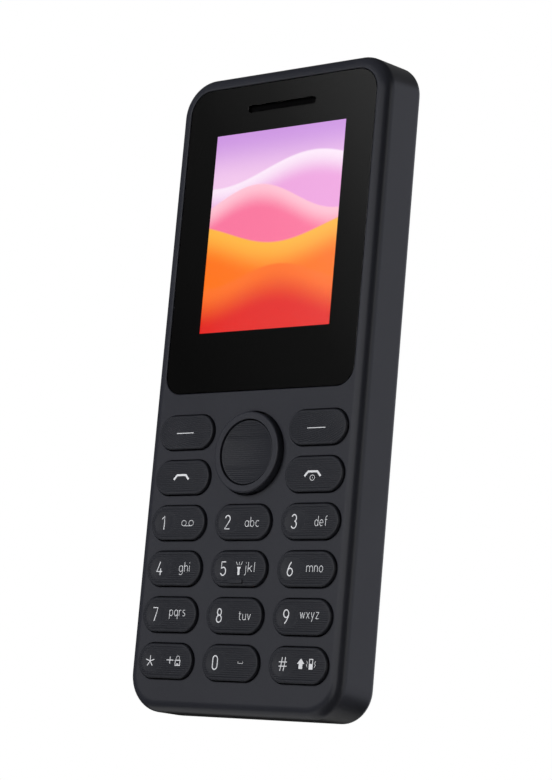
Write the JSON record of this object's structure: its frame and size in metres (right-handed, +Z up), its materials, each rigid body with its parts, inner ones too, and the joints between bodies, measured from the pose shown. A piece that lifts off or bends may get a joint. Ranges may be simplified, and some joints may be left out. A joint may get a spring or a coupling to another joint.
{
  "type": "feature phone",
  "caption": "Candy-bar feature phone with a colour display, pill-shaped push keys, a rocking navigation ring and a lift-off back cover.",
  "frame": {"origin": "middle of the phone's footprint at the underside of its bottom end", "axes": "+X to the right as the user sees the front, +Y out of the back, +Z up the phone towards the earpiece"},
  "size_m": [0.045, 0.0132, 0.1103],
  "materials": {
    "housing": "fine moulded grain, satin",
    "keys": "satin moulded plastic with fine lines",
    "lens": "clear hard-coated window with a black printed border",
    "screen": "lit colour display",
    "backlight": "white light guide",
    "flex": "polyimide film",
    "inner_black": "matt black moulding",
    "steel": "stamped stainless steel",
    "rubber": "silicone rubber",
    "board": "solder-masked laminate",
    "led": "phosphor-coated diode",
    "clear": "clear moulded window",
    "battery": "wrapped lithium cell",
    "gold": "gold-plated spring metal",
    "weight": "sintered tungsten alloy",
    "legend": "thin white print"
  },
  "bodies": {
    "phone": {"front_housing": "housing", "display_lens": "lens", "lens_adhesive": "inner_black", "earpiece_mesh": "steel", "earpiece_gasket": "rubber", "earpiece_receiver": "steel", "lcd_panel": "screen", "lcd_backlight": "backlight", "lcd_flex": "flex", "keypad_mat": "rubber", "key_domes": "steel", "main_board": "board", "shield_cans": "steel", "microphone": "inner_black", "charging_socket": "steel", "headphone_socket": "inner_black", "torch_led": "led", "torch_window": "clear", "rear_chassis": "inner_black", "chassis_screws": "steel", "battery": "battery", "battery_contacts": "gold", "sim_holder": "steel", "card_holder": "steel", "loudspeaker": "inner_black", "speaker_gasket": "rubber", "vibration_motor": "steel", "antenna": "gold"},
    "key_star": {"key_star": "keys"},
    "key_0": {"key_0": "keys"},
    "key_hash": {"key_hash": "keys"},
    "key_7": {"key_7": "keys"},
    "key_8": {"key_8": "keys"},
    "key_9": {"key_9": "keys"},
    "key_4": {"key_4": "keys"},
    "key_5": {"key_5": "keys"},
    "key_6": {"key_6": "keys"},
    "key_1": {"key_1": "keys"},
    "key_2": {"key_2": "keys"},
    "key_3": {"key_3": "keys"},
    "call_key": {"call_key": "keys"},
    "end_key": {"end_key": "keys"},
    "soft_key_left": {"soft_key_left": "keys"},
    "soft_key_right": {"soft_key_right": "keys"},
    "nav_rocker": {"nav_rocker": "steel"},
    "nav_ring": {"nav_ring": "keys"},
    "nav_select": {"nav_select": "keys"},
    "vibration_weight": {"vibration_weight": "weight"},
    "back_cover": {"back_cover": "housing"}
  },
  "joints": [
    {"name": "key_star_press", "type": "slide", "parent": "phone", "child": "key_star", "axis": [0, 1, 0], "range_m": [0, 0.0003], "stiffness_N_per_m": 800, "springref_m": -0.0003},
    {"name": "key_0_press", "type": "slide", "parent": "phone", "child": "key_0", "axis": [0, 1, 0], "range_m": [0, 0.0003], "stiffness_N_per_m": 800, "springref_m": -0.0003},
    {"name": "key_hash_press", "type": "slide", "parent": "phone", "child": "key_hash", "axis": [0, 1, 0], "range_m": [0, 0.0003], "stiffness_N_per_m": 800, "springref_m": -0.0003},
    {"name": "key_7_press", "type": "slide", "parent": "phone", "child": "key_7", "axis": [0, 1, 0], "range_m": [0, 0.0003], "stiffness_N_per_m": 800, "springref_m": -0.0003},
    {"name": "key_8_press", "type": "slide", "parent": "phone", "child": "key_8", "axis": [0, 1, 0], "range_m": [0, 0.0003], "stiffness_N_per_m": 800, "springref_m": -0.0003},
    {"name": "key_9_press", "type": "slide", "parent": "phone", "child": "key_9", "axis": [0, 1, 0], "range_m": [0, 0.0003], "stiffness_N_per_m": 800, "springref_m": -0.0003},
    {"name": "key_4_press", "type": "slide", "parent": "phone", "child": "key_4", "axis": [0, 1, 0], "range_m": [0, 0.0003], "stiffness_N_per_m": 800, "springref_m": -0.0003},
    {"name": "key_5_press", "type": "slide", "parent": "phone", "child": "key_5", "axis": [0, 1, 0], "range_m": [0, 0.0003], "stiffness_N_per_m": 800, "springref_m": -0.0003},
    {"name": "key_6_press", "type": "slide", "parent": "phone", "child": "key_6", "axis": [0, 1, 0], "range_m": [0, 0.0003], "stiffness_N_per_m": 800, "springref_m": -0.0003},
    {"name": "key_1_press", "type": "slide", "parent": "phone", "child": "key_1", "axis": [0, 1, 0], "range_m": [0, 0.0003], "stiffness_N_per_m": 800, "springref_m": -0.0003},
    {"name": "key_2_press", "type": "slide", "parent": "phone", "child": "key_2", "axis": [0, 1, 0], "range_m": [0, 0.0003], "stiffness_N_per_m": 800, "springref_m": -0.0003},
    {"name": "key_3_press", "type": "slide", "parent": "phone", "child": "key_3", "axis": [0, 1, 0], "range_m": [0, 0.0003], "stiffness_N_per_m": 800, "springref_m": -0.0003},
    {"name": "call_key_press", "type": "slide", "parent": "phone", "child": "call_key", "axis": [0, 1, 0], "range_m": [0, 0.0003], "stiffness_N_per_m": 800, "springref_m": -0.0003},
    {"name": "end_key_press", "type": "slide", "parent": "phone", "child": "end_key", "axis": [0, 1, 0], "range_m": [0, 0.0003], "stiffness_N_per_m": 800, "springref_m": -0.0003},
    {"name": "soft_key_left_press", "type": "slide", "parent": "phone", "child": "soft_key_left", "axis": [0, 1, 0], "range_m": [0, 0.0003], "stiffness_N_per_m": 800, "springref_m": -0.0003},
    {"name": "soft_key_right_press", "type": "slide", "parent": "phone", "child": "soft_key_right", "axis": [0, 1, 0], "range_m": [0, 0.0003], "stiffness_N_per_m": 800, "springref_m": -0.0003},
    {"name": "nav_left_right", "type": "hinge", "parent": "phone", "child": "nav_rocker", "pos_m": [0, -0.0026, 0.04333], "axis": [0, 0, 1], "range_deg": [-2, 2], "stiffness_Nm_per_rad": 0.02},
    {"name": "nav_up_down", "type": "hinge", "parent": "nav_rocker", "child": "nav_ring", "pos_m": [0, -0.00298, 0.04333], "axis": [1, 0, 0], "range_deg": [-2, 2], "stiffness_Nm_per_rad": 0.02},
    {"name": "nav_select_press", "type": "slide", "parent": "nav_ring", "child": "nav_select", "axis": [0, 1, 0], "range_m": [0, 0.00022], "stiffness_N_per_m": 800, "springref_m": -0.0003},
    {"name": "vibration_spin", "type": "hinge", "parent": "phone", "child": "vibration_weight", "pos_m": [-0.0065, 0.00258, 0.01], "axis": [1, 0, 0], "continuous": true},
    {"name": "back_cover_lift", "type": "slide", "parent": "phone", "child": "back_cover", "axis": [0, 1, 0], "range_m": [0, 0.03]}
  ]
}
